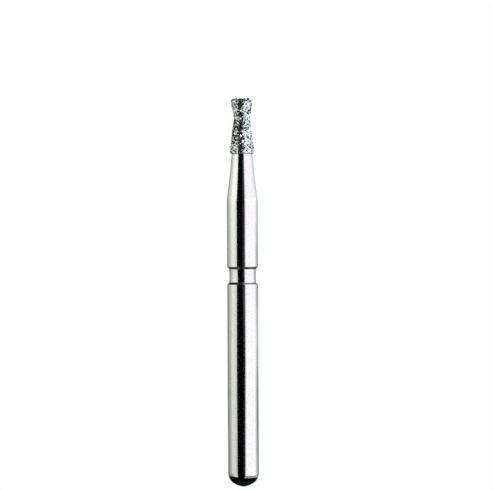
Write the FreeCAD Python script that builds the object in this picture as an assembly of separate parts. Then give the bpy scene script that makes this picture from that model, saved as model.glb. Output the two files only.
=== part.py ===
import FreeCAD, Part
import math
import os
import random

# A friction-grip dental bur: a turned steel blank whose head, a double inverted
# cone, carries diamond grit in a plated nickel bond. Everything is round about Z.
# Z = 0 is the rear tip of the shank, and Z grows towards the cutting end.
# All sizes are in millimetres.

# Shank
SHANK_D = 1.60
REAR_LENGTH = 10.535           # from the rear tip to the groove
FRONT_LENGTH = 3.545           # from the groove to the neck
GROOVE_WIDTH = 0.87
GROOVE_DEPTH = 0.107           # at the groove's walls
GROOVE_HOLLOW = 0.010          # how much deeper the middle of its floor lies
GROOVE_EDGE_BREAK = 0.05

# Rounded rear end, with the stub left where the blank was parted off
DOME_HEIGHT = 0.578
DOME_EDGE_BREAK = 0.10
STUB_TIP_D = 0.20
STUB_FLARE = 0.04              # growth of the stub's radius up to the dome
STUB_HEIGHT = 0.02             # how far the stub stands below the dome

# Neck, a taper with a slightly hollow side
NECK_LENGTH = 2.39
NECK_END_D = 1.063
NECK_HOLLOW = 0.012            # depth of the hollow, at the middle of the neck

# Head of the blank, under its coat
COLLAR_LENGTH = 0.39
REAR_CONE_LENGTH = 1.47        # from the collar in to the waist
WAIST_D = 0.713
FRONT_CONE_LENGTH = 0.76       # from the waist out to the rim
RIM_D = 1.01
RIM_LENGTH = 0.17

# Nickel bond, plated over the whole head
BOND_THICKNESS = 0.025
BOND_EDGE_SHARE = 0.8          # edge break, as a share of the thickness

# Diamond crystals: each is seated on the bond by its widest section, and narrows to a
# facet that leans a little
GRIT_WIDEST = 0.130            # section across corners, from the coarsest crystal
GRIT_NARROWEST = 0.075         # to the finest, which fills in between
GRIT_GAP = 0.004               # least gap between two sections
GRIT_UNEVEN_SHARE = 0.80       # least reach of a corner, as a share of the section's
GRIT_PROUD_LEAST = 0.024       # height over the bond
GRIT_PROUD_MOST = 0.044
GRIT_FACET_SHARE = 0.62        # width of the facet, as a share of the section
GRIT_LEAN_SHARE = 0.35         # most that a facet leans, as a share of the height
GRIT_CORNER_COUNTS = (4, 5)    # fewest and most corners of a section
GRIT_THROW_COUNT = 4           # places tried on each square as wide as the finest crystal
GRIT_SEED = 21

# Radii that follow
shank_r = SHANK_D / 2
groove_r = shank_r - GROOVE_DEPTH
collar_r = NECK_END_D / 2
waist_r = WAIST_D / 2
rim_r = RIM_D / 2
stub_tip_r = STUB_TIP_D / 2
stub_base_r = stub_tip_r + STUB_FLARE
dome_r = (shank_r ** 2 + DOME_HEIGHT ** 2) / (2 * DOME_HEIGHT)

# Heights that follow, from the rear tip up
groove_z = REAR_LENGTH
front_z = groove_z + GROOVE_WIDTH
neck_z = front_z + FRONT_LENGTH
head_z = neck_z + NECK_LENGTH
collar_z = head_z + COLLAR_LENGTH
waist_z = collar_z + REAR_CONE_LENGTH
rim_z = waist_z + FRONT_CONE_LENGTH
end_z = rim_z + RIM_LENGTH


def at(r, z):
    """The point at radius r and height z, in the half plane that is turned."""
    return FreeCAD.Vector(r, 0, z)


def on_dome(r):
    """The point of the rounded rear end at radius r."""
    return at(r, STUB_HEIGHT + dome_r - math.sqrt(dome_r ** 2 - r ** 2))


def straight(*points):
    """Straight edges that join the points in their order."""
    return [Part.LineSegment(a, b).toShape() for a, b in zip(points, points[1:])]


def bowed(start, middle, end):
    """One round edge through three points."""
    return [Part.Arc(start, middle, end).toShape()]


def hollowed(start, end, depth):
    """One round edge whose middle lies this much nearer to the axis than a straight one."""
    return bowed(start, (start + end) / 2 - at(depth, 0), end)


def turned(edges):
    """The solid that a closed outline makes when it is turned about Z."""
    outline = Part.Face(Part.Wire(edges))
    return outline.revolve(at(0, 0), FreeCAD.Vector(0, 0, 1), 360)


def ring_edge(solid, place):
    """The round edge of a turned solid that passes through this place."""
    near = 1e-4
    for edge in solid.Edges:
        curve = edge.Curve
        if isinstance(curve, Part.Circle) and (at(curve.Radius, curve.Center.z) - place).Length < near:
            return edge
    raise ValueError("no round edge at radius %.3f and height %.3f" % (place.x, place.z))


def head_corners(coat):
    """Corners of the head's outline from the neck to the end, under a coat of this thickness."""
    return [
        at(collar_r + coat, head_z),
        at(collar_r + coat, collar_z),
        at(waist_r + coat, waist_z),
        at(rim_r + coat, rim_z),
        at(rim_r + coat, end_z + coat),
    ]


def make_blank():
    """Turned steel blank: rounded rear end, grooved shank, neck and bare head."""
    dome_start, dome_end = on_dome(stub_base_r), on_dome(shank_r)
    groove_rear, groove_front = at(shank_r, groove_z), at(shank_r, front_z)
    floor_rear, floor_front = at(groove_r, groove_z), at(groove_r, front_z)
    neck_start, neck_end = at(shank_r, neck_z), at(collar_r, head_z)
    blank = turned(
        straight(at(0, 0), at(stub_tip_r, 0), dome_start)
        + bowed(dome_start, on_dome((stub_base_r + shank_r) / 2), dome_end)
        + straight(dome_end, groove_rear, floor_rear)
        + hollowed(floor_rear, floor_front, GROOVE_HOLLOW)
        + straight(floor_front, groove_front, neck_start)
        + hollowed(neck_start, neck_end, NECK_HOLLOW)
        + straight(*head_corners(0), at(0, end_z), at(0, 0))
    )
    blank = blank.makeFillet(DOME_EDGE_BREAK, [ring_edge(blank, dome_end)])
    groove_edges = [ring_edge(blank, groove_rear), ring_edge(blank, groove_front)]
    return blank.makeChamfer(min(GROOVE_EDGE_BREAK, GROOVE_DEPTH / 2), groove_edges)


def make_bond():
    """Nickel bond: a sleeve that fits the bare head, closed over its end."""
    outside = head_corners(BOND_THICKNESS)
    inside = head_corners(0)[::-1]
    closed_end = [at(0, end_z + BOND_THICKNESS), at(0, end_z)]
    bond = turned(straight(*outside, *closed_end, *inside, outside[0]))
    edges = [ring_edge(bond, outside[0]), ring_edge(bond, outside[-1])]
    return bond.makeChamfer(BOND_EDGE_SHARE * BOND_THICKNESS, edges)


def crystal(middle, outward, around, widest, rng):
    """One crystal on the bond: a section and a smaller facet, turned half a step from it,
    with flat triangles between them."""
    along = outward.cross(around)
    corners = rng.randint(*GRIT_CORNER_COUNTS)
    step = 2 * math.pi / corners
    turn = rng.uniform(0, step)
    height = rng.uniform(GRIT_PROUD_LEAST, GRIT_PROUD_MOST)
    lean = GRIT_LEAN_SHARE * height / widest
    lean_around, lean_along = rng.uniform(-lean, lean), rng.uniform(-lean, lean)

    section, facet = [], []
    for k in range(corners):
        angle = turn + k * step
        reach = widest * rng.uniform(GRIT_UNEVEN_SHARE, 1)
        x, y = reach * math.cos(angle), reach * math.sin(angle)
        section.append(middle + around * x + along * y)
        angle += step / 2
        reach = GRIT_FACET_SHARE * widest * rng.uniform(GRIT_UNEVEN_SHARE, 1)
        x, y = reach * math.cos(angle), reach * math.sin(angle)
        rise = height + lean_around * x + lean_along * y
        facet.append(middle + around * x + along * y + outward * rise)

    outlines = [section[::-1], facet]
    for k in range(corners):
        after = (k + 1) % corners
        outlines.append([section[k], section[after], facet[k]])
        outlines.append([section[after], facet[after], facet[k]])
    return Part.Solid(Part.Shell([Part.Face(Part.makePolygon(o + o[:1])) for o in outlines]))


def bond_bands():
    """Straight stretches of the bond's outline that carry crystals: the side, band by band,
    and the end face, taken across its whole width."""
    corners = head_corners(BOND_THICKNESS)
    far_side = at(-corners[-1].x, corners[-1].z)
    return list(zip(corners, corners[1:] + [far_side]))


def make_grit():
    """Diamond crystals, thrown at random on the bond and kept where they have room,
    the coarsest first and the finest last."""
    rng = random.Random(GRIT_SEED)
    bands = bond_bands()
    lengths = [(end - start).Length for start, end in bands]
    most_around = 2 * math.pi * max(start.x for start, end in bands)
    throws = int(GRIT_THROW_COUNT * sum(lengths) * most_around / GRIT_NARROWEST ** 2)

    seated, crystals = [], []
    for k in range(throws):
        reach = (GRIT_WIDEST + (GRIT_NARROWEST - GRIT_WIDEST) * k / throws) / 2
        start, end = rng.choices(bands, lengths)[0]
        length = (end - start).Length
        if length < 2 * reach:
            continue
        place = start + (end - start) * (rng.uniform(reach, length - reach) / length)
        angle = rng.uniform(0, 2 * math.pi)
        radial = FreeCAD.Vector(math.cos(angle), math.sin(angle), 0)
        middle = radial * place.x + at(0, place.z)
        if any((middle - other).Length < reach + its_reach + GRIT_GAP for other, its_reach in seated):
            continue
        seated.append((middle, reach))
        outward = (radial * (end.z - start.z) + at(0, start.x - end.x)).normalize()
        around = FreeCAD.Vector(-math.sin(angle), math.cos(angle), 0)
        crystals.append(crystal(middle, outward, around, reach, rng))
    return Part.makeCompound(crystals)


def main():
    os.makedirs("parts", exist_ok=True)
    pieces = {
        "blank": make_blank(),
        "nickel_bond": make_bond(),
        "diamond_grit": make_grit(),
    }
    for name, shape in pieces.items():
        shape.exportStep("parts/%s.step" % name)


main()
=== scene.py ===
import math

import bpy
import numpy as np
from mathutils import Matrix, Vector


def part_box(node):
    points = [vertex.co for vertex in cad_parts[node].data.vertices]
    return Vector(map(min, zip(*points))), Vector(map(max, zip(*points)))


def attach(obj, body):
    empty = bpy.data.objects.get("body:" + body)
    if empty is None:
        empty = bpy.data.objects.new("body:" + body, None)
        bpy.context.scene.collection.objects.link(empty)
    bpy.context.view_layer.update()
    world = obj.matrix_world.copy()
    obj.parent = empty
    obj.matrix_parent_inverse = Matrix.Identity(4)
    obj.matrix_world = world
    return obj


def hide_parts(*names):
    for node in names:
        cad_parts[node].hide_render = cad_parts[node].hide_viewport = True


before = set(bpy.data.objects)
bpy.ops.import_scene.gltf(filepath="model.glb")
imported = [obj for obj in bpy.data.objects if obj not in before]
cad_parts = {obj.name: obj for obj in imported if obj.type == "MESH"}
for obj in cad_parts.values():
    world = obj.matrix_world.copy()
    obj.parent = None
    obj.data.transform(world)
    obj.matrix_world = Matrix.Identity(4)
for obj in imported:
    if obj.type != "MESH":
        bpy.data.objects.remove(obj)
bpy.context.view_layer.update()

# A friction-grip dental bur: polished steel blank, nickel bond and diamond grit.
# Sizes are in metres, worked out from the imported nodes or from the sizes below.
MM = 0.001

# Blank: its grid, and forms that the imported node's box doesn't give
BLANK_STEP = 0.12 * MM
BLANK_SEGMENTS = 192
GROOVE_DEPTH = 0.107 * MM
GROOVE_HOLLOW = 0.010 * MM
GROOVE_LEVELS = (10.527 * MM, 10.637 * MM, 11.320 * MM, 11.447 * MM)
GROOVE_ROUNDINGS = (0.11 * MM, 0.085 * MM, 0.05 * MM, 0.025 * MM)
DOME_Z = 0.026 * MM
DOME_HEIGHT = 0.74 * MM
DOME_POWERS = (2.6, 1.6)
DOME_POINTS = 26
STUB_R = 0.10 * MM
STUB_ROUNDING = 0.012 * MM
NECK_Z = 14.95 * MM
NECK_HOLLOW = 0.012 * MM
NECK_ROUNDING = 1.2 * MM

# Painted shade on the blank, which also makes the steel rougher: on the groove's rear and
# front wall, with how far it fades out beside them, and a painted shadow line on a ring at
# the coat's foot, from where it fades in to where it is full
WALL_PAINTED_SHADE = (0.85, 1.0)
WALL_FADE = 0.006 * MM
FOOT_RING = (0.050 * MM, 0.045 * MM)
FOOT_PAINTED_SHADE = 0.85

# Head
COLLAR_LENGTH = 0.39 * MM
REAR_CONE_LENGTH = 1.47 * MM
FRONT_CONE_LENGTH = 0.76 * MM
WAIST_R = 0.3565 * MM
RIM_R = 0.505 * MM
CONE_ROUNDING = 0.3 * MM
WAIST_ROUNDING = 0.25 * MM

# Nickel: its grid, its swell at the collar, its roundings in shares of its thickness, its
# lumps (height, and width in cells), and how it climbs the crystals
BOND_STEP = 0.013 * MM
BOND_SEGMENTS = 270
COLLAR_SWELL = 0.022 * MM
LIP_ROUNDING_SHARE = 0.7
END_ROUNDING_SHARE = 1.6
NICKEL_LUMPS = ((1.2e-6, 1.6), (1e-6, 4))
LUMP_START = 0.03 * MM
CLIMB_HEIGHT = 4e-6
CLIMB_WIDTH = 22e-6
CLIMB_EDGE_SHARE = 0.75
CLIMB_LOOK = 0.2 * MM

# Crystals: the seed of all random draws, their size in shares of their reach, how much of
# each point is cut off, and their stretch
CRYSTAL_DRAW = 11
CRYSTAL_SPREAD = 1.45
CRYSTAL_CUT = (0.3, 0.8)
CRYSTAL_STRETCH = (0.75, 1.15)

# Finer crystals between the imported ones: how many are thrown, the reach of the first and
# the last, the room that each needs, how high it stands in shares of its reach, and how far
# from the coat's foot they start, in shares of the first one's reach
FILL_THROWS = 26000
FILL_REACH = (0.041 * MM, 0.026 * MM)
FILL_ROOM = 0.86
FILL_PROUD_SHARES = (0.2, 0.6)
FILL_START_SHARE = 0.6

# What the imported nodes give
blank_low, blank_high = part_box("blank")
bond_low, bond_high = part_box("nickel_bond")
SHANK_R = blank_high.x
HEAD_Z = bond_low.z
END_Z = blank_high.z
BOND_THICKNESS = bond_high.z - END_Z
COLLAR_R = bond_high.x - BOND_THICKNESS


def build_mesh(name, points, face_groups, smooth):
    """A mesh object from an array of points and arrays of faces with equal corner counts."""
    corners = np.concatenate([group.ravel() for group in face_groups])
    counts = np.concatenate([np.full(len(group), group.shape[1]) for group in face_groups])
    mesh = bpy.data.meshes.new(name)
    mesh.vertices.add(len(points))
    mesh.vertices.foreach_set("co", points.astype(np.float32).ravel())
    mesh.loops.add(len(corners))
    mesh.loops.foreach_set("vertex_index", corners.astype(np.int32))
    mesh.polygons.add(len(counts))
    mesh.polygons.foreach_set("loop_start", (np.cumsum(counts) - counts).astype(np.int32))
    mesh.polygons.foreach_set("use_smooth", np.full(len(counts), smooth))
    mesh.update(calc_edges=True)
    piece = bpy.data.objects.new(name, mesh)
    bpy.context.scene.collection.objects.link(piece)
    return piece


def ring_quads(rings, columns):
    """Faces between rings of points that close on themselves: face (k, j) has the corners
    (k, j), (k, j + 1), (k + 1, j + 1) and (k + 1, j)."""
    k, j = [v.ravel() for v in np.indices((rings - 1, columns))]
    corner, beside = k * columns + j, k * columns + (j + 1) % columns
    return np.stack([corner, beside, beside + columns, corner + columns], axis=1)


def set_values(piece, name, domain, values):
    """Give each point or face of a piece a value, for its material."""
    attribute = piece.data.attributes.new(name, "FLOAT", domain)
    attribute.data.foreach_set("value", values.astype(np.float32))


def rounded_outline(corners):
    """Outline through corners (r, z, rounding), each corner replaced by a parabola.

    The parabola by corner P starts at A on the line before it and ends at B on the line
    after it, both at distance rounding * tan(half the turn) from P, or at 0.45 of a line
    that is short: (1 - u)^2 A + 2 u (1 - u) P + u^2 B for u from 0 to 1. A support point
    follows on each side, so that straight lines stay straight when the surface is shaded."""
    steps, short_share, support = 7, 0.45, 1.1
    points = np.array([corner[:2] for corner in corners])
    outline = [points[:1]]
    for k in range(1, len(points) - 1):
        corner, rounding = points[k], corners[k][2]
        before, after = points[k - 1] - corner, points[k + 1] - corner
        before_length, after_length = np.linalg.norm(before), np.linalg.norm(after)
        before, after = before / before_length, after / after_length
        turn = math.pi - math.acos(float(np.clip(before @ after, -1, 1)))
        reach = rounding * math.tan(turn / 2)
        if reach <= 0:
            outline.append(corner[None])
            continue
        before *= min(reach, short_share * before_length)
        after *= min(reach, short_share * after_length)
        u = np.linspace(0, 1, steps)[:, None]
        curve = corner + (1 - u) ** 2 * before + u ** 2 * after
        outline += [corner[None] + support * before, curve, corner[None] + support * after]
    outline.append(points[-1:])
    return np.concatenate(outline)


def spaced(outline, longest):
    """The outline with its long lines cut into equal steps no longer than this."""
    pieces = [outline[:1]]
    for a, b in zip(outline, outline[1:]):
        count = max(1, math.ceil(np.linalg.norm(b - a) / longest))
        pieces.append(a + (b - a) * (np.arange(1, count + 1) / count)[:, None])
    return np.concatenate(pieces)


def bowed(start, end, hollow, count):
    """Points between two ends on a parabola: r = straight line - 4 hollow u (1 - u)."""
    u = np.linspace(0, 1, count)[1:-1]
    r = start[0] + (end[0] - start[0]) * u - 4 * hollow * u * (1 - u)
    z = start[1] + (end[1] - start[1]) * u
    return [(a, b, 0.0) for a, b in zip(r, z)]


def outline_normals(outline):
    """Outward directions (r, z) of an outline that runs up the outer side."""
    along = np.gradient(outline, axis=0)
    normals = np.stack([along[:, 1], -along[:, 0]], axis=1)
    return normals / np.linalg.norm(normals, axis=1)[:, None]


def lathe(name, outline, segments, lift=None):
    """Closed surface of revolution: point (k, j) is (r_k cos t_j, r_k sin t_j, z_k) with
    t_j = 2 pi j / segments. The outline starts and ends on the axis, where each end is
    one point. lift, an array (rings, segments), moves points along the normal."""
    t = np.arange(segments) * (2 * math.pi / segments)
    inner = outline[1:-1]
    r, z = inner[:, :1], inner[:, 1:]
    if lift is not None:
        normals = outline_normals(outline)[1:-1]
        r, z = r + normals[:, :1] * lift, z + normals[:, 1:] * lift
    r, z = (np.broadcast_to(v, (len(inner), segments)) for v in (r, z))
    rings = np.stack([r * np.cos(t), r * np.sin(t), z], axis=2).reshape(-1, 3)
    first, last = [0, 0, outline[0, 1]], [0, 0, outline[-1, 1]]
    points = np.concatenate([[first], rings, [last]])

    quads = 1 + ring_quads(len(inner), segments)
    j = np.arange(segments)
    after = (j + 1) % segments
    top = 1 + (len(inner) - 1) * segments
    first_fan = np.stack([np.zeros_like(j), 1 + after, 1 + j], axis=1)
    last_fan = np.stack([np.full_like(j, len(points) - 1), top + j, top + after], axis=1)
    return build_mesh(name, points, [quads, first_fan, last_fan], True)


# Blank
def dome_corners():
    """The rounded rear end, from the stub to the shank: r = R (1 - u^p)^(1/q), where u falls
    from 1 at the tip to 0 at the shank, and z = tip + height (1 - u)."""
    p, q = DOME_POWERS
    u = 1 - np.linspace(0.1, 1, DOME_POINTS) ** 2
    r, z = SHANK_R * (1 - u ** p) ** (1 / q), DOME_Z + DOME_HEIGHT * (1 - u)
    beside_stub = r > 1.2 * STUB_R
    return [(a, b, 0.0) for a, b in zip(r[beside_stub], z[beside_stub])]


def groove_corners():
    """The ring groove: a wall that leans, a floor that is a little hollow, and the other wall.
    Its levels are where the rear wall starts and ends, and where the front wall does."""
    floor_r = SHANK_R - GROOVE_DEPTH
    corners = list(zip((SHANK_R, floor_r, floor_r, SHANK_R), GROOVE_LEVELS, GROOVE_ROUNDINGS))
    ends = (floor_r, GROOVE_LEVELS[1]), (floor_r, GROOVE_LEVELS[2])
    return corners[:2] + bowed(*ends, GROOVE_HOLLOW, count=8) + corners[2:]


def head_corners(coat, swell=0.0):
    """Corners (r, z, rounding) of the head under a coat of this thickness, with a swell of
    the coat at the collar."""
    collar_z = HEAD_Z + COLLAR_LENGTH
    waist_z = collar_z + REAR_CONE_LENGTH
    rim_z = waist_z + FRONT_CONE_LENGTH
    return [
        (COLLAR_R + coat + swell, HEAD_Z, LIP_ROUNDING_SHARE * coat),
        (COLLAR_R + coat + swell, collar_z, CONE_ROUNDING),
        (WAIST_R + coat, waist_z, WAIST_ROUNDING),
        (RIM_R + coat, rim_z, CONE_ROUNDING),
        (RIM_R + coat, END_Z + coat, END_ROUNDING_SHARE * coat),
    ]


def make_blank():
    """Turned and polished blank, from the parting stub to the bare head under the coat. It
    carries a painted shade value, which darkens the steel and makes it rougher: the wall's
    share of painted shade on each of the groove's two walls, falling to 0 within WALL_FADE
    of them, and the foot's share on a narrow ring at the coat's foot, a painted shadow line
    under the coat."""
    corners = [(0, DOME_Z, 0), (STUB_R, DOME_Z, STUB_ROUNDING)]
    corners += dome_corners() + groove_corners()
    corners += [(SHANK_R, NECK_Z, NECK_ROUNDING)]
    corners += bowed((SHANK_R, NECK_Z), (COLLAR_R, HEAD_Z), NECK_HOLLOW, count=14)
    corners += head_corners(0) + [(0, END_Z, 0)]
    outline = spaced(rounded_outline(corners), BLANK_STEP)
    foot = HEAD_Z - np.array(FOOT_RING)
    ring = np.stack([np.interp(foot, outline[:, 1], outline[:, 0]), foot], axis=1)
    outline = np.insert(outline, np.searchsorted(outline[:, 1], foot), ring, axis=0)
    piece = lathe("blank_polished", outline, BLANK_SEGMENTS)

    z = outline[1:-1, 1]
    foot_stops = [*foot, HEAD_Z, HEAD_Z + FOOT_RING[1]]
    # Painted shade: a painted shadow line at the coat's foot, and painted shade on the groove's two
    # walls
    shade_shares = [np.interp(z, foot_stops, [0, FOOT_PAINTED_SHADE, FOOT_PAINTED_SHADE, 0])]
    for share, low, high in zip(WALL_PAINTED_SHADE, GROOVE_LEVELS[::2], GROOVE_LEVELS[1::2]):
        depth = np.minimum(z - low, high - z)
        shade_shares.append(share * np.clip(depth / WALL_FADE + 1, 0, 1))
    rings = np.repeat(np.max(shade_shares, axis=0), BLANK_SEGMENTS)
    set_values(piece, "painted_shade", "POINT", np.concatenate([[0], rings, [0]]))
    return piece


# Coat
def bond_outline():
    """Dense outline of the nickel's outer side, from its lower lip to the axis. The lip
    starts a little inside the neck, so that no slit shows there."""
    inside_neck = COLLAR_R - 0.2 * BOND_THICKNESS
    corners = [(inside_neck, HEAD_Z, 0.0)] + head_corners(BOND_THICKNESS, COLLAR_SWELL)
    corners += [(0, END_Z + BOND_THICKNESS, 0)]
    return spaced(rounded_outline(corners), BOND_STEP)


def crystal_seats(outline):
    """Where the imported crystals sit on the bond: seat point, outward direction, reach and
    height of each.

    Corners at the same place are one point. Each point starts with its own label, and every
    triangle passes its lowest label to its corners until nothing changes, so a label is one
    crystal. Its seat is the outline point nearest to its middle, and where the coat swells
    at the collar, the crystal rises with it."""
    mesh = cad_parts["diamond_grit"].data
    points = np.empty(len(mesh.vertices) * 3)
    mesh.vertices.foreach_get("co", points)
    mesh.calc_loop_triangles()
    triangles = np.empty(len(mesh.loop_triangles) * 3, int)
    mesh.loop_triangles.foreach_get("vertices", triangles)
    grain = 1e-8
    cells = np.round(points.reshape(-1, 3) / grain).astype(np.int64)
    cells, same = np.unique(cells, axis=0, return_inverse=True)
    points, triangles = cells * grain, same.ravel()[triangles].reshape(-1, 3)

    labels = np.arange(len(points))
    while True:
        lowest = labels.copy()
        np.minimum.at(lowest, triangles.ravel(), np.repeat(labels[triangles].min(axis=1), 3))
        if (lowest == labels).all():
            break
        labels = lowest
    names, member = np.unique(labels, return_inverse=True)
    count = np.bincount(member)
    middle = np.stack([np.bincount(member, points[:, k]) / count for k in range(3)], axis=1)

    radius, angle = np.hypot(middle[:, 0], middle[:, 1]), np.arctan2(middle[:, 1], middle[:, 0])
    gap = np.hypot(radius[:, None] - outline[None, :, 0], middle[:, 2:] - outline[None, :, 1])
    nearest = gap.argmin(axis=1)
    normals = outline_normals(outline)[nearest]
    radial = np.stack([np.cos(angle), np.sin(angle), np.zeros_like(angle)], axis=1)
    axial = np.array([0.0, 0.0, 1.0])
    outward = radial * normals[:, :1] + axial * normals[:, 1:]
    foot = radial * outline[nearest, :1] + axial * outline[nearest, 1:]
    seat = middle - outward * ((middle - foot) * outward).sum(axis=1)[:, None]

    offset = points - seat[member]
    rise = (offset * outward[member]).sum(axis=1)
    spread = np.linalg.norm(offset - rise[:, None] * outward[member], axis=1)
    height, reach = np.zeros(len(names)), np.zeros(len(names))
    np.maximum.at(height, member, rise)
    np.maximum.at(reach, member, spread)
    collar_z = HEAD_Z + COLLAR_LENGTH
    height += COLLAR_SWELL * np.interp(seat[:, 2], [collar_z, collar_z + REAR_CONE_LENGTH], [1, 0])
    return seat, outward, reach, height


def fill_seats(outline, seats, rng):
    """The seats with finer ones thrown between them, the coarsest first, each kept where
    it has room: no nearer to another than FILL_ROOM of both their reaches. They fall evenly
    over the bond, as each step of its outline is drawn by the area of its band, which goes
    with step length * (r at its start + r at its end)."""
    steps = np.diff(outline, axis=0)
    area = np.cumsum(np.linalg.norm(steps, axis=1) * (outline[1:, 0] + outline[:-1, 0]))
    index = np.searchsorted(area, rng.uniform(0, area[-1], FILL_THROWS))
    r, z = (outline[index] + steps[index] * rng.uniform(0, 1, (FILL_THROWS, 1))).T
    t = rng.uniform(0, 2 * math.pi, FILL_THROWS)
    radial = np.stack([np.cos(t), np.sin(t), np.zeros_like(t)], axis=1)
    normals = outline_normals(outline)[index]
    outward = radial * normals[:, :1] + np.array([0.0, 0.0, 1.0]) * normals[:, 1:]
    points = np.stack([r * np.cos(t), r * np.sin(t), z], axis=1)
    reach = np.linspace(*FILL_REACH, FILL_THROWS)

    seat, its_outward, its_reach, its_height = seats
    count = len(seat)
    spots = np.concatenate([seat, np.zeros_like(points)])
    reaches = np.concatenate([its_reach, np.zeros(FILL_THROWS)])
    kept = []
    for k in np.flatnonzero(z > HEAD_Z + FILL_START_SHARE * FILL_REACH[0]):
        away = np.linalg.norm(spots[:count] - points[k], axis=1)
        if (away < FILL_ROOM * (reaches[:count] + reach[k])).any():
            continue
        spots[count], reaches[count] = points[k], reach[k]
        count += 1
        kept.append(k)
    height = rng.uniform(*FILL_PROUD_SHARES, len(kept)) * reach[kept]
    return (
        spots[:count],
        np.concatenate([its_outward, outward[kept]]),
        reaches[:count],
        np.concatenate([its_height, height]),
    )


def smooth_noise(shape, width, rng):
    """White noise on a grid, smoothed by a Gaussian of this width in cells, and scaled to
    mean 0 and spread 1. It closes on itself round the axis."""
    white = np.fft.fft2(rng.standard_normal(shape))
    k0, k1 = np.fft.fftfreq(shape[0])[:, None], np.fft.fftfreq(shape[1])[None, :]
    squares = (k0 * width) ** 2 + (k1 * width) ** 2
    smooth = np.fft.ifft2(white * np.exp(-2 * math.pi ** 2 * squares)).real
    return (smooth - smooth.mean()) / smooth.std()


def make_bond(seats, rng):
    """Plated nickel: the bond's outline turned about Z, lifted by small lumps and where it
    climbs each crystal: climb = CLIMB_HEIGHT * exp(-(gap / CLIMB_WIDTH)^2), where gap is the
    distance from the crystal's edge."""
    outer = bond_outline()
    inner = np.array([corner[:2] for corner in head_corners(0)])[::-1]
    outline = np.concatenate([[[0, END_Z]], inner, outer])
    rings = outline[1:-1]
    grid = (len(rings), BOND_SEGMENTS)
    lift = sum(lump * smooth_noise(grid, width, rng) for lump, width in NICKEL_LUMPS)

    t = np.arange(BOND_SEGMENTS) * (2 * math.pi / BOND_SEGMENTS)
    x, y = rings[:, :1] * np.cos(t), rings[:, :1] * np.sin(t)
    points = np.stack([x, y, np.broadcast_to(rings[:, 1:], grid)], axis=2)
    seat, _, reach, _ = seats
    gap = np.full(grid, 1.0)
    for ring, row in enumerate(points):
        near = np.abs(seat[:, 2] - rings[ring, 1]) < CLIMB_LOOK
        if near.any():
            away = np.linalg.norm(row[:, None, :] - seat[None, near, :], axis=2)
            gap[ring] = (away - CLIMB_EDGE_SHARE * reach[None, near]).min(axis=1)
    lift += CLIMB_HEIGHT * np.exp(-(np.maximum(gap, 0) / CLIMB_WIDTH) ** 2)
    lift[: len(inner)] = 0
    fade = np.clip((rings[:, 1] - HEAD_Z) / LUMP_START, 0, 1)[:, None]
    return lathe("nickel_plated", outline, BOND_SEGMENTS, lift * fade)


def crystal_mesh(name, seat, outward, reach, height, rng):
    """Blocky crystals: truncated octahedra, cut more or less.

    The corners are (0, t, 1) in every order and with every sign, where t from 0 to 1 sets
    how much of each point is cut off: flat hexagons lie on |x| + |y| + |z| = 1 + t and flat
    squares on |x| = 1, |y| = 1 and |z| = 1. Each crystal is stretched along its own axes,
    turned at random, and sunk in the bond so that its top stands at its height."""
    count = len(seat)
    order = [(0, 1, 2), (0, 2, 1), (1, 0, 2), (1, 2, 0), (2, 0, 1), (2, 1, 0)]
    signs = [(a, b) for a in (-1, 1) for b in (-1, 1)]
    base, cut = [], []
    for zero, part, whole in order:
        for a, b in signs:
            corner, share = [0, 0, 0], [0, 0, 0]
            corner[whole], share[part] = b, a
            base.append(corner)
            cut.append(share)
    base, cut = np.array(base, float), np.array(cut, float)

    shown = base + 0.5 * cut
    planes = [np.array(p, float) for p in ((1, 0, 0), (0, 1, 0), (0, 0, 1))]
    planes += [-p for p in planes]
    planes += [np.array([a, b, c], float) for a in (-1, 1) for b in (-1, 1) for c in (-1, 1)]
    faces = []
    for plane in planes:
        out = plane / np.linalg.norm(plane)
        on = np.flatnonzero(np.isclose(shown @ out, (shown @ out).max()))
        side = np.cross(out, [0.3, 0.5, 0.8])
        up = np.cross(out, side)
        centred = shown[on] - shown[on].mean(axis=0)
        faces.append(on[np.argsort(np.arctan2(centred @ up, centred @ side))])

    t = rng.uniform(*CRYSTAL_CUT, count)
    stretch = rng.uniform(*CRYSTAL_STRETCH, (count, 3))
    quaternion = rng.standard_normal((count, 4))
    quaternion /= np.linalg.norm(quaternion, axis=1)[:, None]
    w, x, y, z = quaternion.T
    turn = np.array([
        [1 - 2 * (y * y + z * z), 2 * (x * y - z * w), 2 * (x * z + y * w)],
        [2 * (x * y + z * w), 1 - 2 * (x * x + z * z), 2 * (y * z - x * w)],
        [2 * (x * z - y * w), 2 * (y * z + x * w), 1 - 2 * (x * x + y * y)],
    ]).transpose(2, 0, 1)
    local = (base[None] + t[:, None, None] * cut[None]) * stretch[:, None, :]
    local = np.einsum("nij,nkj->nki", turn, local) * CRYSTAL_SPREAD * reach[:, None, None]

    around = np.cross([0.0, 0.0, 1.0], outward)
    flat = np.linalg.norm(around, axis=1) < 1e-6
    around[flat] = [0.0, 1.0, 0.0]
    around /= np.linalg.norm(around, axis=1)[:, None]
    along = np.cross(outward, around)
    local[:, :, 2] += (height - local[:, :, 2].max(axis=1))[:, None]
    points = seat[:, None, :] + local[:, :, :1] * around[:, None]
    points = points + local[:, :, 1:2] * along[:, None] + local[:, :, 2:] * outward[:, None]

    shift = (np.arange(count) * len(base))[:, None, None]
    groups = []
    for size in (4, 6):
        kind = np.array([face for face in faces if len(face) == size])
        groups.append((kind[None] + shift).reshape(-1, size))
    piece = build_mesh(name, points.reshape(-1, 3), groups, False)
    set_values(piece, "tone", "POINT", np.repeat(rng.uniform(0, 1, count), len(base)))
    # The spark of each facet sets which facets get the painted flash and which the painted shade
    set_values(piece, "spark", "FACE", rng.uniform(0, 1, len(piece.data.polygons)))
    return piece
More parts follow.
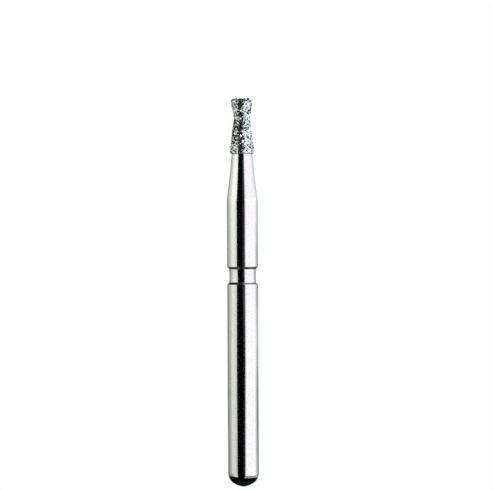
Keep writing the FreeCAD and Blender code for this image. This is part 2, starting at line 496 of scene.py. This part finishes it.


# Materials: colours, and roughness with 0 for a mirror. The polished steel drifts between
# two of them. Noise under PIT_EDGE makes pits, the steel's dark colour is painted shade, and
# diamond facets whose spark is over FLASH_EDGE get a painted flash, the others painted shade,
# with a soft step from the first value to the second.
STEEL_IN_PITS = (0.60, 0.59, 0.56, 1)
STEEL_POLISHED = (0.82, 0.815, 0.80, 1)
# Dark steel colour of the painted shade on the groove walls and at the coat's foot
STEEL_IN_PAINTED_SHADE = (0.13, 0.13, 0.125, 1)
ROUGH_POLISHED = (0.02, 0.05)
ROUGH_IN_PITS = 0.24
ROUGH_IN_PAINTED_SHADE = 0.22
ROUGH_NICKEL = 0.14
ROUGH_DIAMOND = 0.08
PIT_EDGE = (0.38, 0.44)
FLASH_EDGE = (0.57, 0.64)
NICKEL_TONES = ((0.60, 0.69, 0.65, 1), (0.80, 0.90, 0.86, 1))
# Near-black painted shade of the diamond facets, then their bright painted flash
DIAMOND_PAINTED_SHADE_TONES = ((0.012, 0.026, 0.019, 1), (0.035, 0.056, 0.044, 1))
DIAMOND_FLASH_TONES = ((0.76, 0.88, 0.82, 1), (0.96, 1.0, 1.0, 1))


class Nodes:
    """A node tree being built: add() makes a node, sets its values and links its inputs. An
    input is named with _ for a space, or is given as _ and its number."""

    def __init__(self, tree):
        self.tree = tree
        tree.nodes.clear()

    def add(self, kind, settings=None, **inputs):
        node = self.tree.nodes.new(kind)
        for name, value in (settings or {}).items():
            setattr(node, name, value)
        for name, value in inputs.items():
            numbered = name[0] == "_" and name[1:].isdigit()
            socket = node.inputs[int(name[1:]) if numbered else name.replace("_", " ")]
            if isinstance(value, bpy.types.NodeSocket):
                self.tree.links.new(value, socket)
            else:
                socket.default_value = value
        return node


def new_group(name, inputs, outputs):
    """An empty shader node group with float inputs (name, default) and typed outputs."""
    group = bpy.data.node_groups.new(name, "ShaderNodeTree")
    nodes = Nodes(group)
    for label, default in inputs:
        socket = group.interface.new_socket(label, in_out="INPUT", socket_type="NodeSocketFloat")
        socket.default_value = default
    for label, kind in outputs:
        group.interface.new_socket(label, in_out="OUTPUT", socket_type=kind)
    return group, nodes, nodes.add("NodeGroupInput"), nodes.add("NodeGroupOutput")


def soft_step(nodes, value, edge):
    """0 under the edge's first value and 1 over its second, with a smooth step between."""
    step = nodes.add("ShaderNodeMapRange", {"interpolation_type": "SMOOTHSTEP"}, Value=value)
    step.inputs["From Min"].default_value, step.inputs["From Max"].default_value = edge
    return step.outputs["Result"]


def make_fine_texture_group():
    """Fine pits and soft drift of a metal surface, from two scales of noise. Pits is 0 in a
    pit and 1 beside it."""
    group, nodes, given, out = new_group(
        "fine_texture",
        [("Pit Size", 0.00005), ("Drift Size", 0.0008)],
        [("Height", "NodeSocketFloat"), ("Pits", "NodeSocketFloat"), ("Drift", "NodeSocketFloat")],
    )
    place = nodes.add("ShaderNodeTexCoord").outputs["Object"]
    noises = []
    for label, values in (("Pit Size", {"Roughness": 0.6}), ("Drift Size", {})):
        size = given.outputs[label]
        scale = nodes.add("ShaderNodeMath", {"operation": "DIVIDE"}, _0=1.0, _1=size).outputs[0]
        noise = nodes.add("ShaderNodeTexNoise", Vector=place, Scale=scale, Detail=2.0, **values)
        noises.append(noise)
    pits, drift = noises
    nodes.tree.links.new(pits.outputs["Fac"], out.inputs["Height"])
    nodes.tree.links.new(soft_step(nodes, pits.outputs["Fac"], PIT_EDGE), out.inputs["Pits"])
    nodes.tree.links.new(drift.outputs["Fac"], out.inputs["Drift"])
    return group


def new_material(name):
    material = bpy.data.materials.new(name)
    material.use_nodes = True
    nodes = Nodes(material.node_tree)
    return material, nodes, nodes.add("ShaderNodeOutputMaterial")


def fine_texture(nodes, group, pit_size, drift_size):
    texture = nodes.add("ShaderNodeGroup", {"node_tree": group})
    texture.inputs["Pit Size"].default_value = pit_size
    texture.inputs["Drift Size"].default_value = drift_size
    return texture.outputs


def tone_mix(nodes, share, tones):
    """Mix of two colours: the first where the share is 0 and the second where it is 1."""
    mix = nodes.add("ShaderNodeMix", {"data_type": "RGBA"}, Factor=share)
    mix.inputs["A"].default_value, mix.inputs["B"].default_value = tones
    return mix


def make_steel(group):
    """Polished stainless steel: bright, with fine pits and a faint drift of tone, and dark
    and rougher under the painted shade on the groove walls and at the coat's foot."""
    material, nodes, out = new_material("polished_steel")
    texture = fine_texture(nodes, group, pit_size=0.036 * MM, drift_size=0.9 * MM)
    pitted = tone_mix(nodes, texture["Pits"], (STEEL_IN_PITS, STEEL_POLISHED))
    # Painted shade on the groove walls and at the coat's foot: dark colour and rougher steel
    painted_shade = nodes.add("ShaderNodeAttribute", {"attribute_name": "painted_shade"}).outputs["Fac"]
    colour = nodes.add("ShaderNodeMix", {"data_type": "RGBA"}, Factor=painted_shade)
    nodes.tree.links.new(pitted.outputs["Result"], colour.inputs["A"])
    colour.inputs["B"].default_value = STEEL_IN_PAINTED_SHADE
    smooth = nodes.add(
        "ShaderNodeMapRange",
        Value=texture["Drift"],
        From_Min=0.3,
        From_Max=0.7,
        To_Min=ROUGH_POLISHED[0],
        To_Max=ROUGH_POLISHED[1],
    )
    polish = nodes.add(
        "ShaderNodeMapRange",
        Value=texture["Pits"],
        To_Min=ROUGH_IN_PITS,
        To_Max=smooth.outputs["Result"],
    )
    roughness = nodes.add(
        "ShaderNodeMapRange",
        Value=painted_shade,
        To_Min=polish.outputs["Result"],
        To_Max=ROUGH_IN_PAINTED_SHADE,
    )
    bump = nodes.add("ShaderNodeBump", Height=texture["Height"], Distance=4e-7, Strength=1.0)
    surface = nodes.add(
        "ShaderNodeBsdfPrincipled",
        Base_Color=colour.outputs["Result"],
        Metallic=1.0,
        Roughness=roughness.outputs["Result"],
        Normal=bump.outputs["Normal"],
    )
    nodes.tree.links.new(surface.outputs["BSDF"], out.inputs["Surface"])
    return material


def make_nickel(group):
    """Plated nickel: duller than the steel and a little greenish."""
    material, nodes, out = new_material("plated_nickel")
    texture = fine_texture(nodes, group, pit_size=0.02 * MM, drift_size=0.25 * MM)
    tone = tone_mix(nodes, texture["Drift"], NICKEL_TONES)
    bump = nodes.add("ShaderNodeBump", Height=texture["Height"], Distance=1e-6, Strength=1.0)
    surface = nodes.add(
        "ShaderNodeBsdfPrincipled",
        Base_Color=tone.outputs["Result"],
        Metallic=1.0,
        Roughness=ROUGH_NICKEL,
        Normal=bump.outputs["Normal"],
    )
    nodes.tree.links.new(surface.outputs["BSDF"], out.inputs["Surface"])
    return material


def make_diamond():
    """Diamond grit: each facet whose spark is high gets a bright painted flash, and each other
    facet a near-black painted shade, and each crystal has its own grey to greenish tone."""
    material, nodes, out = new_material("diamond_crystals")
    tone = nodes.add("ShaderNodeAttribute", {"attribute_name": "tone"}).outputs["Fac"]
    spark = nodes.add("ShaderNodeAttribute", {"attribute_name": "spark"}).outputs["Fac"]
    painted_dark = tone_mix(nodes, tone, DIAMOND_PAINTED_SHADE_TONES)
    bright = tone_mix(nodes, tone, DIAMOND_FLASH_TONES)
    flash = soft_step(nodes, spark, FLASH_EDGE)
    colour = nodes.add("ShaderNodeMix", {"data_type": "RGBA"}, Factor=flash)
    nodes.tree.links.new(painted_dark.outputs["Result"], colour.inputs["A"])
    nodes.tree.links.new(bright.outputs["Result"], colour.inputs["B"])
    surface = nodes.add(
        "ShaderNodeBsdfPrincipled",
        Base_Color=colour.outputs["Result"],
        Metallic=0.95,
        Roughness=ROUGH_DIAMOND,
        IOR=2.42,
    )
    nodes.tree.links.new(surface.outputs["BSDF"], out.inputs["Surface"])
    return material


# Studio
CAMERA_DISTANCE = 142.18 * MM
CAMERA_LENS = 200
CAMERA_HEIGHT = 12.58 * MM
CAMERA_SIDE = 0.186 * MM
CAMERA_ROLL = math.radians(0.2775)

# Light cards round the bur: azimuth in degrees from the camera, positive to the right,
# with the brightness there
LEFT_CARD = (
    (-180, 0.26), (-140, 0.28), (-115, 0.58), (-97, 0.69), (-84, 0.95), (-75, 1.0), (-42.5, 0.78),
)
RIGHT_CARD = (
    (14.5, 0.0), (19.5, 0.5), (25.5, 1.2), (100, 1.22), (108, 1.1), (122, 0.96), (140, 0.52),
    (180, 0.36),
)
LEFT_TINT = (
    (-180, 0.90, 1.0, 0.93), (-140, 0.90, 1.0, 0.93), (-110, 0.98, 1.0, 0.96), (0, 0.98, 1.0, 0.96),
)
RIGHT_TINT = (
    (0, 1.0, 0.985, 1.04), (100, 1.0, 1.0, 1.04), (120, 0.97, 1.0, 1.06), (180, 0.93, 1.0, 1.05),
)

# How the cards lean and fade: height on the tent in mm, with the shift in degrees, or
# with the share of the brightness. The FAR shares hold for the backs of the cards, beyond
# the azimuths in FAR. The gap between the cards in front has a faint glow of its own.
LEFT_LEAN = ((-4, -3.2), (5, -3.4), (9.5, -1.0), (15, -1.0), (30, 0.8))
RIGHT_LEAN = ((-4, -4.5), (4, 0))
LEFT_FADE = (
    (-25, 1.2), (-8, 0.86), (-4, 0.86), (9, 1.0), (15, 1.12), (20, 1.3), (34, 1.3), (40, 0.12),
)
RIGHT_FADE = ((17, 1.0), (20, 1.36), (22, 1.36), (24, 0.96), (33, 0.96), (35, 1.32))
LEFT_FAR_FADE = ((-4, 0.76), (7, 0.96), (16, 1.0), (30, 1.2))
RIGHT_FAR_FADE = (
    (-3, 0.67), (-1.9, 0.54), (0.4, 0.48), (1.5, 0.52), (2.6, 0.62), (3.7, 0.82), (5.9, 1.01),
    (7, 0.95), (8.1, 0.77), (9.2, 0.67), (11.8, 0.74), (12.6, 0.77), (14, 1.07), (15.5, 1.18),
    (18, 1.18), (26, 1.0),
)
FAR = (100, 130)
RIGHT_HIGH_TINT = (
    (17, 1.0, 1.0, 1.0), (20, 1.12, 1.0, 1.08), (22, 1.12, 1.0, 1.08),
    (24, 1.0, 1.0, 1.0), (33, 1.0, 1.0, 1.0), (35, 1.12, 1.0, 1.08),
)
GAP_GLOW = ((-1, 0.0), (4, 0.95), (16, 1.0), (24, 0.0))
GAP_FADE = ((4.5, 0.05), (5.9, 0.45), (7.5, 1.3), (9, 1.5), (11, 0.8), (14, 0.6))
GAP_TINT = (0.024, 0.034, 0.035)

# Where the light ends below: azimuth to either side, with a height in mm. The left card
# ends there. On the right, in shares of it, come the card's end, the table, and its end.
LIGHT_LOW = ((0, -33), (44, -30), (86, -23), (125, -14), (153, -7), (180, -4))
RIGHT_SHARES = (0.69, 1.01, 1.58)
TABLE_GLOW = 0.5

# Tent, in mm: its radius, its rings from the floor to the lid, and its columns. The lid has
# one glow on its left and one on its right.
TENT_R = 60
TENT_HEIGHT = 96
TENT_STEP = 1.5
TENT_COLUMNS = 540
FLOOR_Z = -1.0
TENT_LEVELS = np.append(np.arange(FLOOR_Z, TENT_HEIGHT, TENT_STEP), TENT_HEIGHT)
TENT_TOP_GLOW = (0.10, 1.3)

# Lit floor: its rings in mm, the faint glow of its middle, the share of the light by radius
# on its left and right, where these sides begin (azimuth), the least glow at the back by
# azimuth and by radius, the place on the dome (radius and height) that sees the light's
# ends, and the rounds in which the way from it to the wall is found
FLOOR_RINGS = np.geomspace(0.8, TENT_R, 90)
FLOOR_MIDDLE_R = 1.15
FLOOR_MIDDLE_GLOW = (0.004, 0.011, 0.006)
FLOOR_LEFT_SHARE = ((6, 0.30), (15, 1.0))
FLOOR_RIGHT_SHARE = ((10, 1.3), (20, 1.0))
FLOOR_SIDES = ((55, 0.0), (85, 1.0))
FLOOR_BACK = ((115, 0.0), (145, 1.0))
FLOOR_BACK_GLOW = ((2.5, 0.0), (5, 0.18), (14, 0.30))
DOME_SHOULDER = (0.785, 0.57)
FLOOR_ROUNDS = 6


def stops(table, at):
    """Values of a table at these places, with straight lines between its stops."""
    table = np.array(table, float)
    columns = [np.interp(at, table[:, 0], column) for column in table[:, 1:].T]
    return columns[0] if len(columns) == 1 else np.stack(columns, axis=-1)


def tent_glow(azimuth, height):
    """Colour of the tent's wall at an azimuth in degrees and a height in mm."""
    left = azimuth - stops(LEFT_LEAN, height)
    right = azimuth - stops(RIGHT_LEAN, height)
    on_left, on_right = left < LEFT_CARD[-1][0], right > RIGHT_CARD[0][0]
    left_glow = np.where(on_left, stops(LEFT_CARD, left), 0) * stops(LEFT_FADE, height)
    right_glow = np.where(on_right, stops(RIGHT_CARD, right), 0) * stops(RIGHT_FADE, height)
    far = np.clip((np.abs(azimuth) - FAR[0]) / (FAR[1] - FAR[0]), 0, 1)
    left_glow *= 1 + far * (stops(LEFT_FAR_FADE, height) - 1)
    right_glow *= 1 + far * (stops(RIGHT_FAR_FADE, height) - 1)
    gap_glow = stops(GAP_GLOW, azimuth) * stops(GAP_FADE, height)

    down = height / stops(LIGHT_LOW, np.abs(azimuth))
    card_end, table_start, table_end = RIGHT_SHARES
    table = (down > table_start) & (down < table_end) & on_right
    left_glow = np.where(down > 1, 0, left_glow)
    gap_glow = np.where(down > 1, 0, gap_glow)
    right_glow = np.where(down > card_end, np.where(table, TABLE_GLOW, 0), right_glow)
    colour = left_glow[..., None] * stops(LEFT_TINT, azimuth)
    high_tint = 1 + (1 - far)[..., None] * (stops(RIGHT_HIGH_TINT, height) - 1)
    colour += right_glow[..., None] * stops(RIGHT_TINT, azimuth) * high_tint
    colour += gap_glow[..., None] * np.array(GAP_TINT)
    return colour


def floor_glow(azimuth, radius):
    """Colour of the lit floor at an azimuth in degrees and a radius in mm: the tent's glow
    where the line from the dome through that place would meet the wall. The dome shows
    azimuth a at its own azimuth a / 2, so the line starts there, and a settles in rounds."""
    dome_r, dome_z = DOME_SHOULDER
    x, y = radius * np.sin(np.radians(azimuth)), radius * np.cos(np.radians(azimuth))
    turned = np.radians(azimuth)
    for _ in range(FLOOR_ROUNDS):
        ahead_x, ahead_y = x - dome_r * np.sin(turned / 2), y - dome_r * np.cos(turned / 2)
        turned = np.arctan2(ahead_x, ahead_y)
    height = dome_z - (dome_z - FLOOR_Z) * TENT_R / np.hypot(ahead_x, ahead_y)
    left_share, right_share = stops(FLOOR_LEFT_SHARE, radius), stops(FLOOR_RIGHT_SHARE, radius)
    share = np.where(azimuth < 0, left_share, right_share)
    share = 1 + (share - 1) * stops(FLOOR_SIDES, np.abs(azimuth))
    glow = tent_glow(np.degrees(turned), height) * share[..., None]
    back_glow = stops(FLOOR_BACK, np.abs(azimuth)) * stops(FLOOR_BACK_GLOW, radius)
    middle = (radius < FLOOR_MIDDLE_R)[..., None]
    return np.maximum(glow, back_glow[..., None]) + middle * np.array(FLOOR_MIDDLE_GLOW)


def make_tent():
    """Light tent: an upright cylinder, whose glow depends on azimuth and height, with a lid
    and a floor that catches the same light. Only reflections and light see it.

    Its rings run from the floor's middle out to the wall, up the wall, and end at the lid,
    and ring k, column j is (-r_k sin a_j, r_k cos a_j, z_k) with a_j = 360 j / columns."""
    columns = TENT_COLUMNS
    radii = np.concatenate([FLOOR_RINGS[:-1], np.full(len(TENT_LEVELS), TENT_R)])
    heights = np.concatenate([np.full(len(FLOOR_RINGS) - 1, FLOOR_Z), TENT_LEVELS])
    edges = np.radians(np.arange(columns) * 360 / columns)
    x, y = -radii[:, None] * np.sin(edges), radii[:, None] * np.cos(edges)
    rings = np.stack([x, y, np.broadcast_to(heights[:, None], x.shape)], axis=2).reshape(-1, 3)
    points = np.concatenate([rings, [[0, 0, heights[-1]], [0, 0, FLOOR_Z]]]) * MM
    wall = ring_quads(len(radii), columns)[:, [0, 3, 2, 1]]
    top = (len(radii) - 1) * columns
    j = np.arange(columns)
    after = (j + 1) % columns
    lid = np.stack([top + j, np.full(columns, len(points) - 2), top + after], axis=1)
    middle = np.stack([j, after, np.full(columns, len(points) - 1)], axis=1)
    tent = build_mesh("light_tent", points, [wall, lid, middle], False)

    azimuth = (np.arange(columns) + 0.5)[None] * 360 / columns - 180
    floor_radii = np.sqrt(FLOOR_RINGS[1:] * FLOOR_RINGS[:-1])[:, None]
    levels = (TENT_LEVELS[1:] + TENT_LEVELS[:-1])[:, None] / 2
    lid_glow = np.where(azimuth > RIGHT_CARD[0][0], TENT_TOP_GLOW[1], TENT_TOP_GLOW[0])
    colours = np.concatenate([
        floor_glow(*np.broadcast_arrays(azimuth, floor_radii)).reshape(-1, 3),
        tent_glow(*np.broadcast_arrays(azimuth, levels)).reshape(-1, 3),
        np.repeat(lid_glow.reshape(-1, 1), 3, axis=1),
        np.full((columns, 3), FLOOR_MIDDLE_GLOW),
    ])
    colours = np.concatenate([colours, np.ones((len(colours), 1))], axis=1)
    attribute = tent.data.attributes.new("glow", "FLOAT_COLOR", "FACE")
    attribute.data.foreach_set("color", colours.astype(np.float32).ravel())

    material, nodes, out = new_material("tent_glow")
    colour = nodes.add("ShaderNodeAttribute", {"attribute_name": "glow"})
    emission = nodes.add("ShaderNodeEmission", Color=colour.outputs["Color"], Strength=1.0)
    nodes.tree.links.new(emission.outputs[0], out.inputs["Surface"])
    tent.data.materials.append(material)
    tent.visible_camera = False


def make_floor():
    """Plain pale floor, seen by the camera only, and clear when seen from below."""
    size, height = 2.0, -0.4 * MM
    signs = ((-1, -1), (1, -1), (1, 1), (-1, 1))
    corners = np.array([[a * size, b * size, height] for a, b in signs])
    floor = build_mesh("pale_floor", corners, [np.array([[0, 1, 2, 3]])], False)
    material, nodes, out = new_material("pale_floor")
    white = nodes.add("ShaderNodeEmission", Color=(1, 1, 1, 1), Strength=1.0)
    clear = nodes.add("ShaderNodeBsdfTransparent")
    below = nodes.add("ShaderNodeNewGeometry").outputs["Backfacing"]
    mix = nodes.add("ShaderNodeMixShader", _0=below, _1=white.outputs[0], _2=clear.outputs[0])
    nodes.tree.links.new(mix.outputs[0], out.inputs["Surface"])
    floor.data.materials.append(material)
    floor.visible_diffuse = floor.visible_glossy = False
    floor.visible_transmission = floor.visible_shadow = False


def make_backdrop():
    """White to the camera, and dark to everything else."""
    world = bpy.data.worlds.new("studio")
    world.use_nodes = True
    nodes = Nodes(world.node_tree)
    out = nodes.add("ShaderNodeOutputWorld")
    seen = nodes.add("ShaderNodeLightPath").outputs["Is Camera Ray"]
    background = nodes.add("ShaderNodeBackground", Color=(1, 1, 1, 1), Strength=seen)
    nodes.tree.links.new(background.outputs[0], out.inputs["Surface"])
    bpy.context.scene.world = world


def make_camera():
    """Long lens, level with the middle of the bur, rolled and set aside as in the view."""
    data = bpy.data.cameras.new("camera")
    data.lens, data.sensor_width = CAMERA_LENS, 36
    data.clip_start, data.clip_end = 10 * MM, 5
    camera = bpy.data.objects.new("camera", data)
    camera.location = (CAMERA_SIDE, -CAMERA_DISTANCE, CAMERA_HEIGHT)
    camera.rotation_euler = (math.pi / 2, CAMERA_ROLL, 0)
    bpy.context.scene.collection.objects.link(camera)
    bpy.context.scene.camera = camera
    bpy.context.scene.view_settings.view_transform = "Standard"


def dress(piece, material, node):
    """Give a piece its material and its body, and hide the node that it stands for."""
    piece.data.materials.append(material)
    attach(piece, "root")
    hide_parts(node)


def main():
    rng = np.random.default_rng(CRYSTAL_DRAW)
    texture = make_fine_texture_group()
    dress(make_blank(), make_steel(texture), "blank")
    seats = fill_seats(bond_outline(), crystal_seats(bond_outline()), rng)
    dress(make_bond(seats, rng), make_nickel(texture), "nickel_bond")
    dress(crystal_mesh("diamond_crystals", *seats, rng), make_diamond(), "diamond_grit")
    make_tent()
    make_floor()
    make_backdrop()
    make_camera()


main()
